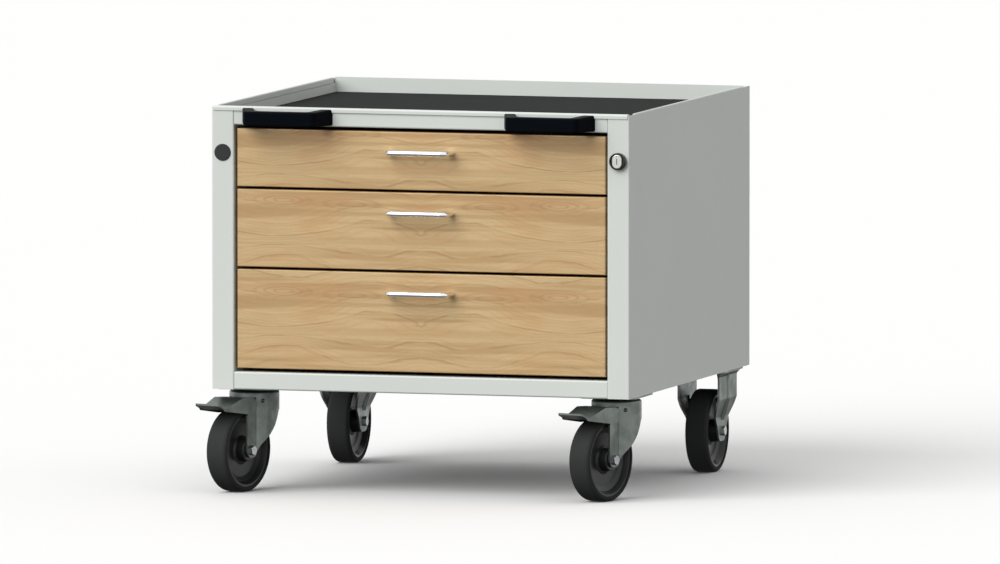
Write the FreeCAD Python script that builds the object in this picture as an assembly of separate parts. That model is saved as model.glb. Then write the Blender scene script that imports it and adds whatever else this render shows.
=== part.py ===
import FreeCAD, Part
import math
import os

# A mobile drawer cabinet: a folded sheet-steel casing with a recessed rubber-matted top, three drawers
# with wooden fronts on full-extension slides, a central lock, two push handles, two braked swivel casters
# at the front and two fixed casters at the rear. Millimetres; +X right, +Y to the back, +Z up.
# Everything is drawn about the middle of the casing and moved by FRAME_SHIFT when it is written, which
# puts the origin on the floor under the middle of the whole object, push handles and pedals included.
V = FreeCAD.Vector
UP = V(0, 0, 1)
BACK = V(0, 1, 0)
RIGHT = V(1, 0, 0)
FRAME_SHIFT = V(7.3, 24.9, 0)

# Casing
WIDTH = 650.0
DEPTH = 640.0
CASTER_HEIGHT = 156.0
TOP = 580.0
SHEET = 1.5
BEND = 1.0
POST_WIDTH = 34.5
POST_RETURN = 30.0
BACK_FLANGE = 22.0
HEM_WIDTH = 4.0
HEM_BEND = 0.4
HEM_RETURN = 8.6
HEM_BACK_GAP = 41.0
CORNER_RELIEF = 1.7
RAIL_RECESS = 1.0
BASE_RAIL_HEIGHT = 26.5
BASE_GAP = 5.5
TOP_RAIL_HEIGHT = 28.0
BASE_FLANGE = 14.0
BACK_PANEL_TOP = 575.0
WELD_GAP = 0.1

# Top tray and mat
LIP_HEIGHT = 6.5
TRAY_FRONT = 9.0
TRAY_BACK = 295.0
TRAY_SIDE_HEIGHT = 18.6
TRAY_HALF_WIDTH = 322.0
MAT_THICKNESS = 4.0
MAT_CORNER = 3.0
MAT_EDGE = 0.75

# Drawers, lowest first
FRONT_THICKNESS = 19.0
FRONT_RECESS = 4.0
FRONT_GAP = 4.0
FRONT_EDGE = 1.5
FRONT_HEIGHTS = {3: 148.0, 2: 116.0, 1: 86.5}
FRONT_SCREW_DEPTH = 14.0
BOX_HEIGHTS = {3: 122.0, 2: 90.0, 1: 64.0}
BOX_SHEET = 1.2
BOX_LIFT = 6.0
BOX_BACK = 250.0
BOX_HEM = 5.0
FRONT_SCREW_INSET = 40.0
FRONT_SCREW_LOW = 15.0
FRONT_SCREW_HIGH = 22.0

# Ball-bearing slides: each rail's half height and the reach of its lips
SLIDE_THICKNESS = 12.7
SLIDE_LENGTH = 550.0
SLIDE_FRONT = -288.0
SLIDE_SHEET = 1.2
SLIDE_CENTRE = 25.0
SLIDE_PLAY = 0.5
CABINET_RAIL = {"half": 22.5, "lip": 9.0}
MIDDLE_RAIL = {"half": 18.2, "lip": 8.2, "inset": 2.2}
DRAWER_RAIL = {"half": 13.8, "lip": 7.5}
SLIDE_POST_WIDTH = 30.0
SLIDE_POST_Y = (-266.0, 230.0)
SLIDE_POST_LIFT = 14.0

# Drawer handles
HANDLE_CENTRES = 96.0
HANDLE_BAR_HALF = 45.0
HANDLE_REACH = 30.0
HANDLE_ROD = 9.0
HANDLE_BEND = 9.0
HANDLE_DROP = 30.0
HANDLE_THREAD = 7.0

# Push handles
PUSH_BASE = 141.0
PUSH_FRONT = 110.0
PUSH_REACH = 45.0
PUSH_BAR = 11.5
PUSH_FOOT = 18.0
PUSH_HEIGHT = 24.0
PUSH_CORNER = 5.0
PUSH_BAR_DROP = 2.5
PUSH_SCREW_DEPTH = 12.0
PUSH_SPACING = 408.0
PUSH_OFFSET = -3.0
PUSH_CENTRE_Z = 566.0

# Central lock and blind plug
LOCK_X = 308.0
LOCK_Z = 510.5
LOCK_HOLE = 9.6
LOCK_RING = 12.7
LOCK_RING_CHAMFER = 1.2
LOCK_PROUD = 8.0
LOCK_BARREL = 9.5
LOCK_BARREL_LENGTH = 27.0
LOCK_CORE = 6.5
LOCK_CORE_END = 28.6
LOCK_BORE = 6.55
LOCK_RECESS = 11.0
LOCK_RECESS_DEPTH = 3.0
LOCK_NUT = {"flats": 23.0, "height": 4.0}
LOCK_FACE_WIDTH = 14.6
LOCK_FACE_HEIGHT = 20.4
LOCK_FACE_PROUD = 1.4
LOCK_FACE_DEPTH = 4.2
LOCK_FACE_FLAT = 0.3
LOCK_FACE_EDGE = 0.8
KEYWAY_WIDTH = 1.2
KEYWAY_HEIGHT = 9.0
KEYWAY_DEPTH = 9.0
KEYHOLE_EYE = 1.3
KEYHOLE_EYE_LIFT = 7.0
PLUG_CAP = 1.8
PLUG_EDGE = 1.2
PLUG_STEM = 8.0
PLUG_WALL = 1.8
CAM_RADIUS = 8.0
CAM_PIN = 2.5
CAM_PIN_LENGTH = 8.5
CAM_PIN_PLAY = 0.6
CAM_BOSS = 6.0
CAM_END = 4.0
CAM_SHEET = 2.5
CAM_START = -45.0

# Locking bar, its guides and the drawers' hooks
BAR_Y = (-286.0, -284.0)
BAR_X = (293.5, 303.0)
BAR_ABOVE_LOCK = 28.0
BAR_BELOW_TAB = 30.0
BAR_LOBE = 8.0
TAB_REACH = 6.5
TAB_HEIGHT = 6.0
TAB_DROP = 12.3
GUIDE_HEIGHT = 12.0
GUIDE_LIFTS = {3: 30.0, 2: 16.0}
GUIDE_WALL = 2.0
GUIDE_PLAY = 0.5
HOOK_SHEET = 2.0
HOOK_GAP = 1.0
HOOK_SIDE_GAP = 2.5
HOOK_LAP = 8.0
HOOK_DROP = 8.0
HOOK_ABOVE_BOX = 12.0
HOOK_BELOW_FRONT = 10.0

# Casters
CASTER_X = 282.5
FRONT_CASTER_Y = -244.0
REAR_CASTER_Y = 236.0
SWIVEL_AT_REST = -17.0
TRAIL = 42.0
WHEEL_RADIUS = 62.5
TYRE_HALF = 17.5
TYRE_SHOULDER = 5.5
RIM_RADIUS = 55.0
RIM_HALF = 16.0
HUB_HALF = 19.5
AXLE_RADIUS = 4.0
RUNNING_CLEARANCE = 0.06
PLATE_X = 85.0
PLATE_Y = 105.0
PLATE_THICKNESS = 2.5
PLATE_CORNER = 7.0
FRONT_HOLES = (30.0, 40.0)
REAR_HOLES = (20.0, 40.0)

# Swivel fork: a round cup over a barrel that is cut away for the wheel, and two flat legs
CUP_RADIUS = 37.5
CUP_DROP = 6.5
CUP_HEIGHT = 9.0
CUP_EDGE = 3.5
RACE_GAP = 0.5
KINGPIN = 8.0
KINGPIN_LENGTH = 8.0
KINGPIN_HEAD = 12.0
KINGPIN_HEAD_HEIGHT = 6.1
LEG_INNER = 20.6
LEG_THICKNESS = 3.0
LEG_BACK = -26.0
LEG_END = 11.0
WHEEL_WAY_BACK = 25.0

# Brake pedal: a channel that straddles the legs and narrows to a turned-up toe
PEDAL_SHEET = 2.5
PEDAL_CHEEK = 2.0
PEDAL_HALF = 26.2
PEDAL_TOE_HALF = 22.5
PEDAL_TOE_CORNER = 5.0
PEDAL_TOE = -126.0
PEDAL_TAPER = (-104.0, -62.0)
PEDAL_REAR = -40.0
PEDAL_PIVOT_T = -22.0
PEDAL_PIVOT_Z = 136.0
PEDAL_PIN = 3.0
PEDAL_ARM = (16.0, 19.0)

# Fixed caster's bracket
REAR_LEG_TOP = 33.0
REAR_LEG_AXLE = 23.6
REAR_LEG_BEND = (84.0, 112.0)
REAR_LEG_HALF = 46.5
REAR_LEG_END = 47.0
REAR_RIB = 4.0
REAR_FLARE = 7.0

# Fasteners: shank radius, width across flats, head and nut height
M6 = {"radius": 3.0, "flats": 10.0, "head_radius": 6.0, "nut": 5.0}
M8 = {"radius": 4.0, "flats": 13.0, "head": 5.3, "nut": 6.5}
HOLE_CLEARANCE = 0.5
SCREW_RADIUS = 2.0
SCREW_HEAD = 4.0
SCREW_HEAD_HEIGHT = 2.4
THREAD_CLEARANCE = 0.05

# Derived levels and faces
HALF = WIDTH / 2
FRONT = -DEPTH / 2
REAR = DEPTH / 2
INSIDE = HALF - SHEET
OPENING = HALF - POST_WIDTH
RAIL_FACE = FRONT + RAIL_RECESS
RETURN_END = FRONT + POST_RETURN
RAIL_TOP = TOP - SHEET
TRAY_Z = TOP - TOP_RAIL_HEIGHT
LIP_Z = TOP - LIP_HEIGHT
BASE_TOP = CASTER_HEIGHT + SHEET
BACK_PANEL = REAR - SHEET
BASE_BACK = BACK_PANEL - SHEET - WELD_GAP
FRONT_FACE = FRONT + FRONT_RECESS
FRONT_REAR = FRONT_FACE + FRONT_THICKNESS
FRONT_HALF = OPENING - FRONT_GAP
SLIDE_OUTER = OPENING - SLIDE_PLAY
BOX_HALF = SLIDE_OUTER - SLIDE_THICKNESS
BAR_TRAVEL = 2 * CAM_RADIUS * math.sin(math.radians(-CAM_START))
PLATE_Z = CASTER_HEIGHT - PLATE_THICKNESS
CUP_TOP = CASTER_HEIGHT - CUP_DROP
CUP_LOW = CUP_TOP - CUP_HEIGHT
LEG_OUTER = LEG_INNER + LEG_THICKNESS
LOCK_FACE_Y = FRONT - LOCK_PROUD - LOCK_FACE_PROUD
HOOK_Y = (FRONT_REAR + HOOK_SHEET, BAR_Y[1] + HOOK_GAP + HOOK_SHEET)


def front_levels():
    """Lowest and highest level of each wooden front, stacked up from the base rail."""
    levels = {}
    low = CASTER_HEIGHT + BASE_RAIL_HEIGHT + BASE_GAP
    for number in sorted(FRONT_HEIGHTS, reverse=True):
        levels[number] = (low, low + FRONT_HEIGHTS[number])
        low = levels[number][1] + FRONT_GAP
    return levels


LEVELS = front_levels()


# Shared shapes

def block(x, y, z):
    """A box between a low and a high limit on each axis."""
    corner = V(min(x), min(y), min(z))
    return Part.makeBox(abs(x[1] - x[0]), abs(y[1] - y[0]), abs(z[1] - z[0]), corner)


def cylinder(radius, start, direction, length):
    """A round bar from start along direction."""
    return Part.makeCylinder(radius, length, start, direction)


def rounded_edges(points, radii, closed):
    """Straight runs through the points, with an arc of its own radius at each corner."""
    spans = []
    last = len(points) - 1
    for index, here in enumerate(points):
        radius = radii[index]
        if not radius or (not closed and index in (0, last)):
            spans.append((here, None, here))
            continue
        to_before = (points[index - 1] - here).normalize()
        to_after = (points[(index + 1) % len(points)] - here).normalize()
        half_angle = to_before.getAngle(to_after) / 2
        reach = radius / math.tan(half_angle)
        bisector = (to_before + to_after).normalize()
        middle = here + bisector * (radius / math.sin(half_angle) - radius)
        spans.append((here + to_before * reach, middle, here + to_after * reach))
    edges = []
    for index, (start, middle, finish) in enumerate(spans):
        if middle:
            edges.append(Part.Arc(start, middle, finish).toShape())
        if not closed and index == last:
            break
        following = spans[(index + 1) % len(spans)][0]
        if finish.distanceToPoint(following) > 1e-6:
            edges.append(Part.LineSegment(finish, following).toShape())
    return edges


def prism(points, depth, radius=0.0):
    """A closed outline with rounded corners, extruded by depth. radius is one value or one per point."""
    radii = radius if isinstance(radius, list) else [radius] * len(points)
    return Part.Face(Part.Wire(rounded_edges(points, radii, True))).extrude(depth)


def rounded_block(x, y, z, radius):
    """A box with its four upright edges rounded."""
    corners = [V(x[0], y[0], z[0]), V(x[1], y[0], z[0]), V(x[1], y[1], z[0]), V(x[0], y[1], z[0])]
    return prism(corners, UP * (z[1] - z[0]), radius)


def folded_sheet(path, depth, thickness=SHEET, bend=BEND):
    """A sheet folded along an open path and extruded by depth. Its thickness lies on the left of the
    path for an eye that looks against depth, and each fold has the inner radius bend."""
    normal = V(depth).normalize()
    near_radii = []
    far_points = []
    far_radii = []
    last = len(path) - 1
    for index, here in enumerate(path):
        runs = []
        if index > 0:
            runs.append((here - path[index - 1]).normalize())
        if index < last:
            runs.append((path[index + 1] - here).normalize())
        sides = [normal.cross(run) for run in runs]
        if len(runs) == 1:
            far_points.append(here + sides[0] * thickness)
            near_radii.append(0)
            far_radii.append(0)
            continue
        scale = thickness / (1 + sides[0].dot(sides[1]))
        far_points.append(here + (sides[0] + sides[1]) * scale)
        turns_left = normal.dot(runs[0].cross(runs[1])) > 0
        near_radii.append(bend + thickness if turns_left else bend)
        far_radii.append(bend if turns_left else bend + thickness)
    outline = list(path) + far_points[::-1]
    return prism(outline, depth, near_radii + far_radii[::-1])


def hexagon(flats, start, direction, height):
    """A hexagonal head or nut with its outer corners turned to a cone."""
    radius = flats / math.sqrt(3)
    corners = [V(radius * math.cos(math.radians(60 * i)), radius * math.sin(math.radians(60 * i)), 0)
               for i in range(6)]
    body = prism(corners, UP * height)
    chamfer = radius - flats / 2
    cone = Part.makeCone(radius, radius - 2 * chamfer, 2 * chamfer, V(0, 0, height - chamfer))
    blank = Part.makeCylinder(radius + 1, height - chamfer).fuse(cone)
    body = body.common(blank)
    body.Placement = FreeCAD.Placement(start, FreeCAD.Rotation(UP, direction))
    return body


def pan_screw(start, direction, length):
    """A pan-head screw: start is under the head, and the shank runs along direction."""
    shank = cylinder(SCREW_RADIUS, start, direction, length)
    head = cylinder(SCREW_HEAD, start - direction * SCREW_HEAD_HEIGHT, direction, SCREW_HEAD_HEIGHT)
    rim = [edge for edge in head.Edges if edge.Curve.TypeId == "Part::GeomCircle"
           and (edge.Curve.Center - start).Length > SCREW_HEAD_HEIGHT / 2]
    return head.makeFillet(SCREW_HEAD_HEIGHT / 3, rim).fuse(shank)


def screw_hole(start, direction, length):
    """The hole that holds a screw's shank."""
    return cylinder(SCREW_RADIUS + THREAD_CLEARANCE, start, direction, length)


def mirrored(shape):
    return shape.mirror(V(0, 0, 0), RIGHT)


def moved(shape, offset):
    copy = shape.copy()
    copy.translate(offset)
    return copy


def group(shapes):
    return Part.makeCompound(shapes)


# Casing

def side_panel():
    """The right side: back flange, wall, front post and its inner return in one folded sheet. Its top
    edge is hemmed between the front post and the tray's rear end."""
    path = [
        V(HALF - BACK_FLANGE, REAR, TOP),
        V(HALF, REAR, TOP),
        V(HALF, FRONT, TOP),
        V(OPENING, FRONT, TOP),
        V(OPENING, RETURN_END, TOP),
    ]
    panel = folded_sheet(path, UP * (CASTER_HEIGHT - TOP))
    hem_y = (RETURN_END, REAR - HEM_BACK_GAP)
    wall_top = TOP - 2 * HEM_RETURN
    lip_end = TRAY_HALF_WIDTH + WELD_GAP
    behind_lip = FRONT + TRAY_FRONT - WELD_GAP
    above = TOP + 1
    cuts = [
        block((INSIDE - 1, HALF + 1), hem_y, (wall_top, above)),
        block((OPENING - 1, lip_end), (FRONT - 1, RETURN_END + 1), (LIP_Z - WELD_GAP, above)),
        block((lip_end - 1, HALF + 1), (FRONT - 1, RETURN_END), (TOP - CORNER_RELIEF, above)),
        block((OPENING - 1, INSIDE - BEND), (behind_lip, RETURN_END + 1), (TRAY_Z, above)),
        block((0, HALF + 1), (hem_y[1], REAR + 1), (TOP - CORNER_RELIEF, above)),
        cylinder(LOCK_HOLE, V(LOCK_X, FRONT - 1, LOCK_Z), BACK, SHEET + 2),
    ]
    hem_path = [
        V(HALF, hem_y[1], wall_top),
        V(HALF, hem_y[1], TOP),
        V(HALF - HEM_WIDTH, hem_y[1], TOP),
        V(HALF - HEM_WIDTH, hem_y[1], TOP - HEM_RETURN),
    ]
    hem = folded_sheet(hem_path, BACK * (hem_y[0] - hem_y[1]), SHEET, HEM_BEND)
    for cutter in cuts:
        panel = panel.cut(cutter)
    return panel.fuse(hem).removeSplitter()


def back_panel():
    """The back wall, folded forward at its top to meet the tray's upstand."""
    x = INSIDE - BEND - WELD_GAP
    path = [
        V(x, TRAY_BACK + WELD_GAP, BACK_PANEL_TOP),
        V(x, BACK_PANEL, BACK_PANEL_TOP),
        V(x, BACK_PANEL, CASTER_HEIGHT),
    ]
    return folded_sheet(path, RIGHT * (-2 * x))


def base_panel():
    """The floor of the casing, with its side edges folded up and holes for the caster screws."""
    x = INSIDE - WELD_GAP
    path = [
        V(-x, RETURN_END, CASTER_HEIGHT + BASE_FLANGE),
        V(-x, RETURN_END, CASTER_HEIGHT),
        V(x, RETURN_END, CASTER_HEIGHT),
        V(x, RETURN_END, CASTER_HEIGHT + BASE_FLANGE),
    ]
    length = BASE_BACK - RETURN_END
    panel = folded_sheet([V(p.x, p.y + length, p.z) for p in path], BACK * -length)
    upstand = block((-x + SHEET, x - SHEET), (BASE_BACK - SHEET, BASE_BACK),
                    (BASE_TOP, CASTER_HEIGHT + BASE_FLANGE))
    panel = panel.fuse(upstand).removeSplitter()
    return panel.cut(group([cylinder(M6["radius"] + HOLE_CLEARANCE, V(x, y, CASTER_HEIGHT - 1), UP, SHEET + 2)
                            for x, y in screw_places()]))


def front_rail(low, high, depth):
    """A channel between the posts, open to the back."""
    x = OPENING - WELD_GAP
    path = [
        V(-x, depth, high),
        V(-x, RAIL_FACE, high),
        V(-x, RAIL_FACE, low),
        V(-x, depth, low),
    ]
    return folded_sheet(path, RIGHT * (2 * x))


def base_front_rail():
    return front_rail(CASTER_HEIGHT, CASTER_HEIGHT + BASE_RAIL_HEIGHT, RETURN_END)


def push_screw_places():
    """Where the push handles' screws cross the top rail: two feet each, two handles."""
    places = []
    for centre in push_centres():
        for side in (-1, 1):
            places.append(V(centre + side * (PUSH_BASE - PUSH_FOOT) / 2, RAIL_FACE + SHEET, PUSH_CENTRE_Z))
    return places


def top_front_rail():
    rail = front_rail(TRAY_Z, RAIL_TOP, FRONT + TRAY_FRONT - BEND - WELD_GAP)
    holes = [screw_hole(p + BACK, -BACK, SHEET + 2) for p in push_screw_places()]
    return rail.cut(group(holes))


def top_tray():
    """The worktop: a tray whose front edge folds up, forward and down over the top rail as a lip."""
    outer_front = FRONT + TRAY_FRONT
    fold = [
        V(0, TRAY_BACK, TOP),
        V(0, TRAY_BACK, TRAY_Z),
        V(0, outer_front, TRAY_Z),
        V(0, outer_front, RAIL_TOP),
        V(0, FRONT, RAIL_TOP),
        V(0, FRONT, LIP_Z),
    ]
    x = TRAY_HALF_WIDTH
    tray = folded_sheet([p + RIGHT * x for p in fold], RIGHT * (-2 * x))
    sides = [block((side * (x - SHEET), side * x), (outer_front + SHEET / 2, TRAY_BACK - SHEET / 2),
                   (TRAY_Z + SHEET / 2, TRAY_Z + TRAY_SIDE_HEIGHT)) for side in (-1, 1)]
    return tray.fuse(sides).removeSplitter()


def rubber_mat():
    x = TRAY_HALF_WIDTH - SHEET - WELD_GAP
    y = (FRONT + TRAY_FRONT + SHEET + BEND, TRAY_BACK - SHEET - BEND)
    z = TRAY_Z + SHEET
    mat = rounded_block((-x, x), y, (z, z + MAT_THICKNESS), MAT_CORNER)
    top_rim = [e for e in mat.Edges if abs(e.BoundBox.ZMin - z - MAT_THICKNESS) < 1e-6]
    return mat.makeFillet(MAT_EDGE, top_rim)


def slide_posts():
    """Four upright channels inside the side walls that carry the slides and the tray."""
    posts = []
    for y in SLIDE_POST_Y:
        path = [
            V(INSIDE, y - SLIDE_POST_WIDTH / 2, TRAY_Z),
            V(SLIDE_OUTER, y - SLIDE_POST_WIDTH / 2, TRAY_Z),
            V(SLIDE_OUTER, y + SLIDE_POST_WIDTH / 2, TRAY_Z),
            V(INSIDE, y + SLIDE_POST_WIDTH / 2, TRAY_Z),
        ]
        low = CASTER_HEIGHT + SLIDE_POST_LIFT
        post = folded_sheet(path, UP * (low - TRAY_Z))
        posts += [post, mirrored(post)]
    return group(posts)


# Slides

def slide_level(number):
    return LEVELS[number][0] + BOX_LIFT + SLIDE_CENTRE


def slide_channel(web_x, lip_x, half_height, level):
    """One rail of a slide on the right: a web at web_x with two lips that reach to lip_x."""
    path = [
        V(lip_x, SLIDE_FRONT + SLIDE_LENGTH, level + half_height),
        V(web_x, SLIDE_FRONT + SLIDE_LENGTH, level + half_height),
        V(web_x, SLIDE_FRONT + SLIDE_LENGTH, level - half_height),
        V(lip_x, SLIDE_FRONT + SLIDE_LENGTH, level - half_height),
    ]
    if lip_x < web_x:
        path = path[::-1]
    return folded_sheet(path, BACK * -SLIDE_LENGTH, SLIDE_SHEET, BEND / 2)


def both_sides(shape):
    return [shape, mirrored(shape)]


def cabinet_rails():
    rails = []
    for number in LEVELS:
        lips = SLIDE_OUTER - CABINET_RAIL["lip"]
        rails += both_sides(slide_channel(SLIDE_OUTER, lips, CABINET_RAIL["half"], slide_level(number)))
    return group(rails)


def middle_rails(number):
    web = SLIDE_OUTER - MIDDLE_RAIL["inset"]
    lips = web - MIDDLE_RAIL["lip"]
    return group(both_sides(slide_channel(web, lips, MIDDLE_RAIL["half"], slide_level(number))))


def hook_level(number):
    return min(LEVELS[number][1] - HOOK_BELOW_FRONT, box_top(number) + HOOK_ABOVE_BOX)


def drawer_hook(number):
    """A bent strap on the outside of the box's right wall, whose lip the locking bar's tab rises behind."""
    low = hook_level(number)
    high = low + HOOK_SHEET
    reach = OPENING - HOOK_SIDE_GAP
    upright = block((BOX_HALF, BOX_HALF + HOOK_SHEET), HOOK_Y, (box_top(number) - HOOK_LAP, high))
    arm = block((BOX_HALF, reach), HOOK_Y, (low, high))
    lip = block((BOX_HALF + HOOK_SHEET, reach), (HOOK_Y[1] - HOOK_SHEET, HOOK_Y[1]), (low - HOOK_DROP, low))
    return upright.fuse([arm, lip]).removeSplitter()


def drawer_rails(number):
    """The two rails on the box's walls, and the hook for the locking bar."""
    lips = BOX_HALF + DRAWER_RAIL["lip"]
    rails = both_sides(slide_channel(BOX_HALF, lips, DRAWER_RAIL["half"], slide_level(number)))
    return group(rails + [drawer_hook(number)])


# Drawers

def handle_level(number):
    return LEVELS[number][1] - HANDLE_DROP


def front_screw_places(number):
    """The four screws that hold a wooden front to its box, inside the box's front wall."""
    x = BOX_HALF - FRONT_SCREW_INSET
    y = FRONT_REAR + BOX_SHEET
    low = LEVELS[number][0] + BOX_LIFT + FRONT_SCREW_LOW
    high = box_top(number) - FRONT_SCREW_HIGH
    return [V(side * x, y, z) for side in (-1, 1) for z in (low, high)]


def handle_screw_places(number):
    y = FRONT_REAR + (BOX_SHEET if handle_level(number) < box_top(number) else 0)
    return [V(side * HANDLE_CENTRES / 2, y, handle_level(number)) for side in (-1, 1)]


def box_top(number):
    return LEVELS[number][0] + BOX_LIFT + BOX_HEIGHTS[number]


def drawer_front(number):
    low, high = LEVELS[number]
    front = block((-FRONT_HALF, FRONT_HALF), (FRONT_FACE, FRONT_REAR), (low, high))
    rim = [e for e in front.Edges if abs(e.BoundBox.YMax - FRONT_FACE) < 1e-6]
    front = front.makeFillet(FRONT_EDGE, rim)
    holes = [screw_hole(p, -BACK, FRONT_SCREW_DEPTH + 2 * BOX_SHEET) for p in front_screw_places(number)]
    holes += [screw_hole(p + BACK, -BACK, FRONT_THICKNESS + 4) for p in handle_screw_places(number)]
    return front.cut(group(holes))


def drawer_box(number):
    """A folded trough for the floor and sides, closed by a front and a back plate, with hemmed rims."""
    low = LEVELS[number][0] + BOX_LIFT
    high = box_top(number)
    t = BOX_SHEET
    inner = BOX_HALF - t
    rim = (high - BOX_HEM, high)
    trough = block((-BOX_HALF, BOX_HALF), (FRONT_REAR, BOX_BACK), (low, high))
    trough = trough.cut(block((-inner, inner), (FRONT_REAR - 1, BOX_BACK + 1), (low + t, high + 1)))
    side_hems = [block(x, (FRONT_REAR + 2 * t, BOX_BACK - 2 * t), rim)
                 for x in ((-inner, t - inner), (inner - t, inner))]
    front_plate = block((-inner, inner), (FRONT_REAR, FRONT_REAR + t), (low + t, high))
    front_hem = block((-inner, inner), (FRONT_REAR + t, FRONT_REAR + 2 * t), rim)
    back_plate = block((-inner, inner), (BOX_BACK - t, BOX_BACK), (low + t, high))
    back_hem = block((-inner, inner), (BOX_BACK - 2 * t, BOX_BACK - t), rim)
    holes = [screw_hole(p + BACK * (t + 1), -BACK, 2 * t + 2)
             for p in front_screw_places(number) + handle_screw_places(number)]
    return group([trough.fuse(side_hems).removeSplitter(),
                  front_plate.fuse(front_hem).removeSplitter().cut(group(holes)),
                  back_plate.fuse(back_hem).removeSplitter()])


def drawer_handle(number):
    """A round rod bent to a bow, with a tapped hole in each leg."""
    z = handle_level(number)
    bar_y = FRONT_FACE - HANDLE_REACH + HANDLE_ROD / 2
    foot = HANDLE_CENTRES / 2
    right_foot = V(foot, FRONT_FACE, z)
    right_bend = V(HANDLE_BAR_HALF, bar_y, z)
    into_front = (right_foot - right_bend).normalize() * HANDLE_ROD / 2
    right_end = right_foot + into_front
    left_end = V(-right_end.x, right_end.y, z)
    left_bend = V(-right_bend.x, right_bend.y, z)
    points = [left_end, left_bend, right_bend, right_end]
    path = Part.Wire(rounded_edges(points, [HANDLE_BEND] * len(points), False))
    section = Part.Wire(Part.makeCircle(HANDLE_ROD / 2, left_end, left_bend - left_end))
    rod = path.makePipeShell([section], True, False)
    rod = rod.cut(block((-2 * foot, 2 * foot), (FRONT_FACE, FRONT_REAR), (z - HANDLE_ROD, z + HANDLE_ROD)))
    holes = [screw_hole(V(p.x, FRONT_FACE + 1, z), -BACK, HANDLE_THREAD + 2)
             for p in handle_screw_places(number)]
    return rod.cut(group(holes))


def drawer_screws(number):
    screws = [pan_screw(p, -BACK, FRONT_SCREW_DEPTH + BOX_SHEET) for p in front_screw_places(number)]
    for p in handle_screw_places(number):
        screws.append(pan_screw(p, -BACK, p.y - FRONT_FACE + HANDLE_THREAD))
    return group(screws)


# Push handles

def push_centres():
    return [PUSH_OFFSET + side * PUSH_SPACING / 2 for side in (-1, 1)]


def push_handle(centre):
    """A moulded bow whose two feet stand on the top rail, with room for a hand behind its bar."""
    low = PUSH_CENTRE_Z - PUSH_HEIGHT / 2
    bar = RAIL_FACE - PUSH_REACH
    inner = bar + PUSH_BAR
    slope = (PUSH_BASE - PUSH_FRONT) / 2 / PUSH_REACH
    inner_base = PUSH_BASE / 2 - PUSH_FOOT
    inner_front = inner_base - slope * (PUSH_REACH - PUSH_BAR)
    outline = [
        V(centre - PUSH_BASE / 2, RAIL_FACE, low),
        V(centre - PUSH_FRONT / 2, bar, low),
        V(centre + PUSH_FRONT / 2, bar, low),
        V(centre + PUSH_BASE / 2, RAIL_FACE, low),
        V(centre + inner_base, RAIL_FACE, low),
        V(centre + inner_front, inner, low),
        V(centre - inner_front, inner, low),
        V(centre - inner_base, RAIL_FACE, low),
    ]
    corner = PUSH_CORNER
    handle = prism(outline, UP * PUSH_HEIGHT, [0, 2 * corner, 2 * corner, 0, 0, corner, corner, 0])
    x = centre - PUSH_BASE
    high = low + PUSH_HEIGHT
    slope_off = [V(x, RAIL_FACE, high), V(x, bar, high - PUSH_BAR_DROP), V(x, bar - 1, high - PUSH_BAR_DROP),
                 V(x, bar - 1, high + 1), V(x, RAIL_FACE, high + 1)]
    handle = handle.cut(prism(slope_off, RIGHT * (2 * PUSH_BASE)))
    long_edges = [e for e in handle.Edges
                  if e.BoundBox.ZLength < PUSH_HEIGHT / 2 and e.BoundBox.YMin < RAIL_FACE - 1e-3]
    handle = handle.makeFillet(corner / 2, long_edges)
    lip_room = block((centre - PUSH_BASE, centre + PUSH_BASE), (FRONT - SHEET - WELD_GAP, RAIL_FACE + 1),
                     (LIP_Z - WELD_GAP, TOP))
    holes = [screw_hole(p + BACK, -BACK, PUSH_SCREW_DEPTH + 2)
             for p in push_screw_places() if abs(p.x - centre) < PUSH_BASE]
    return handle.cut(group(holes + [lip_room]))


def push_handle_screws():
    return group([pan_screw(p, -BACK, PUSH_SCREW_DEPTH) for p in push_screw_places()])


# Central lock and blind plug

def front_rim(shape, y):
    """The edges that lie in the plane of a shape's front face."""
    return [e for e in shape.Edges if abs(e.BoundBox.YMax - y) < 1e-6]


def blind_plug():
    """A domed cap that closes the spare lock hole in the left post."""
    centre = V(-LOCK_X, FRONT, LOCK_Z)
    cap = cylinder(LOCK_RING, centre, -BACK, PLUG_CAP)
    cap = cap.makeFillet(PLUG_EDGE, front_rim(cap, FRONT - PLUG_CAP))
    stem = cylinder(LOCK_HOLE - 2 * WELD_GAP, centre, BACK, PLUG_STEM)
    bore = cylinder(LOCK_HOLE - PLUG_WALL, centre + BACK, BACK, PLUG_STEM)
    return cap.fuse(stem.cut(bore))


def lock_housing():
    """The lock's fixed ring and barrel, bored for the turning core."""
    face = V(LOCK_X, FRONT, LOCK_Z)
    ring = cylinder(LOCK_RING, face, -BACK, LOCK_PROUD)
    ring = ring.makeChamfer(LOCK_RING_CHAMFER, front_rim(ring, FRONT - LOCK_PROUD))
    barrel = cylinder(LOCK_BARREL, face, BACK, LOCK_BARREL_LENGTH)
    before = face - BACK * (LOCK_PROUD + 1)
    recess = cylinder(LOCK_RECESS, before, BACK, LOCK_RECESS_DEPTH + 1)
    bore = cylinder(LOCK_BORE, before, BACK, LOCK_PROUD + LOCK_BARREL_LENGTH + 2)
    return ring.fuse(barrel).cut(recess.fuse(bore))


def lock_nut():
    start = V(LOCK_X, FRONT + SHEET, LOCK_Z)
    nut = hexagon(LOCK_NUT["flats"], start, BACK, LOCK_NUT["height"])
    return nut.cut(cylinder(LOCK_BARREL + THREAD_CLEARANCE, start - BACK, BACK, LOCK_NUT["height"] + 2))


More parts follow.
